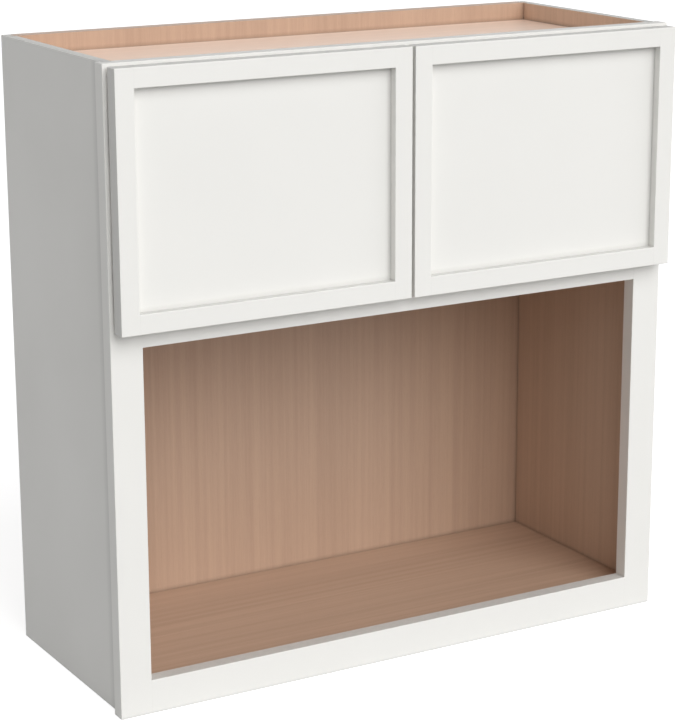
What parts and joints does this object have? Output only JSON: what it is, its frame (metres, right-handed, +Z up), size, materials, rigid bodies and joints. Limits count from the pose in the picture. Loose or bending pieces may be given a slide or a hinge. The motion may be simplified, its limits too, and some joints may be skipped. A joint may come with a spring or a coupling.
{
  "type": "microwave wall cabinet",
  "caption": "White face-frame wall cabinet with an open microwave bay below and a cupboard behind two slim recessed-panel doors above; the doors swing on concealed hinges.",
  "frame": {"origin": "on the floor plane under the middle of the whole outline, doors closed", "axes": "+Z up, +Y towards the wall, +X to the right as seen from the front; the doors face -Y"},
  "size_m": [0.762, 0.3278, 0.762],
  "materials": {
    "white_paint": "satin sprayed white paint on wood and fibreboard",
    "wood_veneer": "clear-lacquered natural birch veneer on plywood",
    "dowel_wood": "plain turned beech",
    "hinge_nickel": "nickel-plated pressed steel",
    "steel_screws": "zinc-plated steel",
    "clear_rubber": "soft translucent polyurethane"
  },
  "bodies": {
    "case": {"side_left": "white_paint", "side_right": "white_paint", "frame_stile_left": "white_paint", "frame_stile_right": "white_paint", "frame_rail_top": "white_paint", "frame_rail_middle": "white_paint", "frame_rail_bottom": "white_paint", "top_panel": "wood_veneer", "bottom_panel": "wood_veneer", "middle_deck": "wood_veneer", "back_panel": "wood_veneer", "hanging_rail_top": "wood_veneer", "hanging_rail_bottom": "wood_veneer", "frame_dowels": "dowel_wood", "back_screws": "steel_screws", "hinge_arm_screws": "steel_screws", "hinge_arm_left_upper": "hinge_nickel", "hinge_arm_left_lower": "hinge_nickel", "hinge_arm_right_upper": "hinge_nickel", "hinge_arm_right_lower": "hinge_nickel"},
    "door_left": {"door_left_hinge_stile": "white_paint", "door_left_free_stile": "white_paint", "door_left_top_rail": "white_paint", "door_left_bottom_rail": "white_paint", "door_left_panel": "white_paint", "door_left_bumpers": "clear_rubber", "hinge_housing_left_upper": "hinge_nickel", "hinge_housing_left_lower": "hinge_nickel", "hinge_pins_left": "hinge_nickel", "housing_screws_left": "steel_screws"},
    "door_right": {"door_right_hinge_stile": "white_paint", "door_right_free_stile": "white_paint", "door_right_top_rail": "white_paint", "door_right_bottom_rail": "white_paint", "door_right_panel": "white_paint", "door_right_bumpers": "clear_rubber", "hinge_housing_right_upper": "hinge_nickel", "hinge_housing_right_lower": "hinge_nickel", "hinge_pins_right": "hinge_nickel", "housing_screws_right": "steel_screws"}
  },
  "joints": [
    {"name": "door_left_swing", "type": "hinge", "parent": "case", "child": "door_left", "pos_m": [-0.3705, -0.1529, 0.60165], "axis": [0, 0, -1], "range_deg": [0, 105]},
    {"name": "door_right_swing", "type": "hinge", "parent": "case", "child": "door_right", "pos_m": [0.3705, -0.1529, 0.60165], "axis": [0, 0, 1], "range_deg": [0, 105]}
  ]
}
